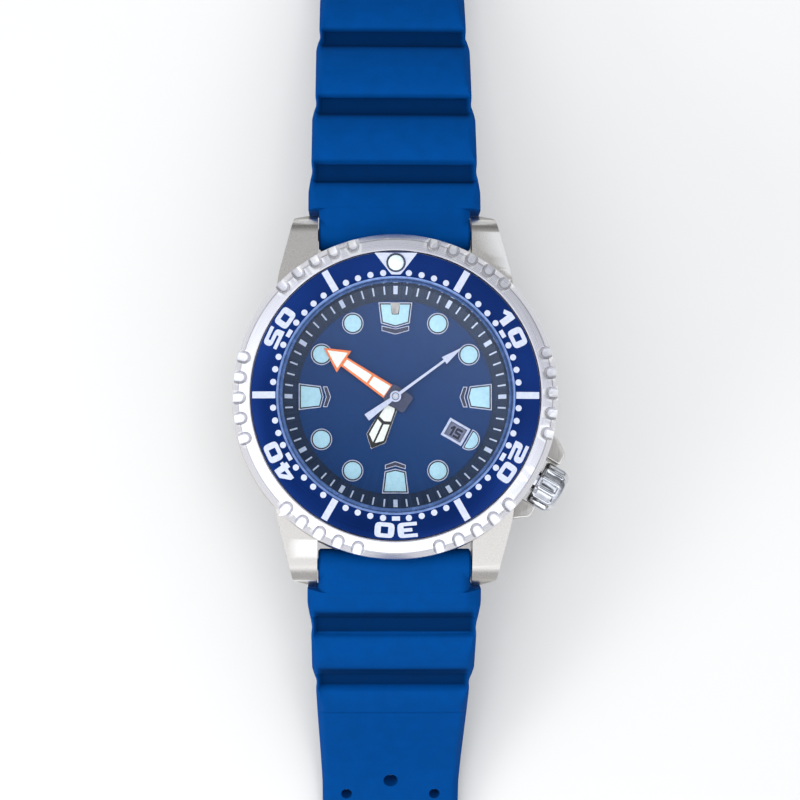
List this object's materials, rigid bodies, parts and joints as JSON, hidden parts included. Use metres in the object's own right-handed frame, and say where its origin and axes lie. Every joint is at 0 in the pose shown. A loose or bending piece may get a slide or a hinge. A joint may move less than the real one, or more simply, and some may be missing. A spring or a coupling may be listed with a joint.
{
  "type": "dive watch",
  "caption": "Round steel dive watch with turning bezel, date dial, solar quartz movement, screw-in crown and ribbed rubber strap with pin buckle, opened out.",
  "frame": {"origin": "centre of the case back's outer face", "axes": "+Z out of the dial, +Y towards 12 o'clock along the strap, +X towards 3 o'clock"},
  "size_m": [0.0451, 0.2514, 0.0335],
  "materials": {
    "case_steel": "satin brushed stainless steel",
    "bezel_steel": "fine satin stainless steel, slightly cool",
    "polished_steel": "polished stainless steel",
    "insert_blue": "anodised blue aluminium with white printing",
    "crystal": "clear mineral glass",
    "dial_blue": "deep blue satin dial",
    "chapter_blue": "grey-blue ring with printed minute ticks",
    "lume": "pale cyan luminous paint in polished frames",
    "hand_white": "white luminous paint in a black edge",
    "hand_orange": "orange paint round white luminous paint",
    "rubber_black": "black seal rubber",
    "strap_blue": "matte blue polyurethane",
    "movement_brass": "fine brass",
    "movement_nickel": "nickel plated",
    "movement_plastic": "white moulded plastic",
    "board_green": "green circuit board",
    "coil_copper": "enamelled copper winding",
    "solar_dark": "dark solar cell"
  },
  "bodies": {
    "case": {"case_middle": "case_steel", "case_back": "case_steel", "case_back_gasket": "rubber_black", "crystal": "crystal", "crystal_gasket": "rubber_black", "chapter_ring": "chapter_blue", "bezel_click_spring": "polished_steel", "dial": "dial_blue", "marker_12": "lume", "marker_1": "lume", "marker_2": "lume", "marker_3": "lume", "marker_5": "lume", "marker_6": "lume", "marker_7": "lume", "marker_8": "lume", "marker_9": "lume", "marker_10": "lume", "marker_11": "lume", "date_frame": "polished_steel", "solar_cell": "solar_dark", "main_plate": "movement_brass", "train_bridge": "movement_nickel", "bridge_screw_1": "polished_steel", "bridge_screw_2": "polished_steel", "movement_holder": "movement_plastic", "battery": "polished_steel", "battery_clamp": "movement_nickel", "circuit_board": "board_green", "quartz_oscillator": "movement_nickel", "coil": "coil_copper", "stator": "movement_nickel", "crown_tube": "polished_steel", "spring_bar_12": "polished_steel", "spring_bar_6": "polished_steel"},
    "bezel": {"bezel": "bezel_steel", "bezel_insert": "insert_blue", "bezel_pip": "lume"},
    "clutch_wheel": {"clutch_wheel": "polished_steel"},
    "crown": {"crown": "polished_steel", "stem": "polished_steel"},
    "setting_lever": {"setting_lever": "movement_nickel"},
    "seconds": {"second_hand": "polished_steel", "fourth_wheel": "movement_brass"},
    "minutes": {"minute_hand": "hand_orange", "centre_wheel": "movement_brass"},
    "hours": {"hour_hand": "hand_white", "hour_wheel": "movement_brass"},
    "third_wheel": {"third_wheel": "movement_brass"},
    "fifth_wheel": {"fifth_wheel": "movement_brass"},
    "rotor": {"rotor": "movement_nickel"},
    "minute_wheel": {"minute_wheel": "movement_brass"},
    "date_driving_wheel": {"date_driving_wheel": "movement_plastic"},
    "date_ring": {"date_ring": "movement_plastic"},
    "strap_long": {"strap_long": "strap_blue"},
    "strap_short": {"strap_short": "strap_blue", "buckle_pin": "polished_steel"},
    "keeper": {"keeper": "strap_blue"},
    "buckle": {"buckle_frame": "case_steel"},
    "tang": {"buckle_tang": "case_steel"}
  },
  "joints": [
    {"name": "bezel_turn", "type": "hinge", "parent": "case", "child": "bezel", "pos_m": [0, 0, 0.009], "axis": [0, 0, 1], "continuous": true},
    {"name": "second_hand_turn", "type": "hinge", "parent": "case", "child": "seconds", "pos_m": [0, 0, 0.0075], "axis": [0, 0, -1], "continuous": true},
    {"name": "fifth_wheel_turn", "type": "hinge", "parent": "case", "child": "fifth_wheel", "pos_m": [0, -0.00306, 0.003], "axis": [0, 0, -1], "continuous": true},
    {"name": "rotor_turn", "type": "hinge", "parent": "case", "child": "rotor", "pos_m": [-0.00115, -0.00506, 0.003], "axis": [0, 0, -1], "continuous": true},
    {"name": "third_wheel_turn", "type": "hinge", "parent": "case", "child": "third_wheel", "pos_m": [0.00153, 0.00265, 0.003], "axis": [0, 0, -1], "continuous": true},
    {"name": "minute_hand_turn", "type": "hinge", "parent": "case", "child": "minutes", "pos_m": [0, 0, 0.007], "axis": [0, 0, -1], "continuous": true},
    {"name": "minute_wheel_turn", "type": "hinge", "parent": "case", "child": "minute_wheel", "pos_m": [-0.00284, 0.0005, 0.005], "axis": [0, 0, -1], "continuous": true},
    {"name": "hour_hand_turn", "type": "hinge", "parent": "case", "child": "hours", "pos_m": [0, 0, 0.0066], "axis": [0, 0, -1], "continuous": true},
    {"name": "date_driving_wheel_turn", "type": "hinge", "parent": "case", "child": "date_driving_wheel", "pos_m": [0.00132, 0.00493, 0.0055], "axis": [0, 0, -1], "continuous": true},
    {"name": "date_ring_turn", "type": "hinge", "parent": "case", "child": "date_ring", "pos_m": [0, 0, 0.0052], "axis": [0, 0, -1], "continuous": true},
    {"name": "crown_turn", "type": "hinge", "parent": "case", "child": "clutch_wheel", "pos_m": [0.00753, -0.00435, 0.0038], "axis": [0.866, -0.5, 0], "continuous": true},
    {"name": "crown_pull", "type": "slide", "parent": "clutch_wheel", "child": "crown", "axis": [0.866, -0.5, 0], "range_m": [0, 0.0018]},
    {"name": "setting_lever_turn", "type": "hinge", "parent": "case", "child": "setting_lever", "pos_m": [0.01177, -0.00222, 0.0035], "axis": [0, 0, 1], "range_deg": [0, 30]},
    {"name": "strap_long_swing", "type": "hinge", "parent": "case", "child": "strap_long", "pos_m": [0, -0.0218, 0.003], "axis": [1, 0, 0], "range_deg": [0, 60]},
    {"name": "strap_short_swing", "type": "hinge", "parent": "case", "child": "strap_short", "pos_m": [0, 0.0218, 0.003], "axis": [-1, 0, 0], "range_deg": [0, 60]},
    {"name": "keeper_slide", "type": "slide", "parent": "strap_short", "child": "keeper", "axis": [0, 1, 0], "range_m": [-0.002, 0.003]},
    {"name": "buckle_swing", "type": "hinge", "parent": "strap_short", "child": "buckle", "pos_m": [0, 0.09899, -0.01955], "axis": [1, 0, 0], "range_deg": [-60, 30]},
    {"name": "tang_swing", "type": "hinge", "parent": "buckle", "child": "tang", "pos_m": [0, 0.09899, -0.01955], "axis": [1, 0, 0], "range_deg": [0, 85]}
  ],
  "couplings": [
    {"joint": "fifth_wheel_turn", "follows": "second_hand_turn", "ratio": -5},
    {"joint": "rotor_turn", "follows": "second_hand_turn", "ratio": 30},
    {"joint": "third_wheel_turn", "follows": "second_hand_turn", "ratio": -0.13333},
    {"joint": "minute_hand_turn", "follows": "second_hand_turn", "ratio": 0.016667},
    {"joint": "minute_wheel_turn", "follows": "second_hand_turn", "ratio": -0.0055556},
    {"joint": "hour_hand_turn", "follows": "second_hand_turn", "ratio": 0.0013889},
    {"joint": "date_driving_wheel_turn", "follows": "second_hand_turn", "ratio": -0.00069444},
    {"joint": "setting_lever_turn", "follows": "crown_pull", "rad_per_m": 288.96}
  ]
}
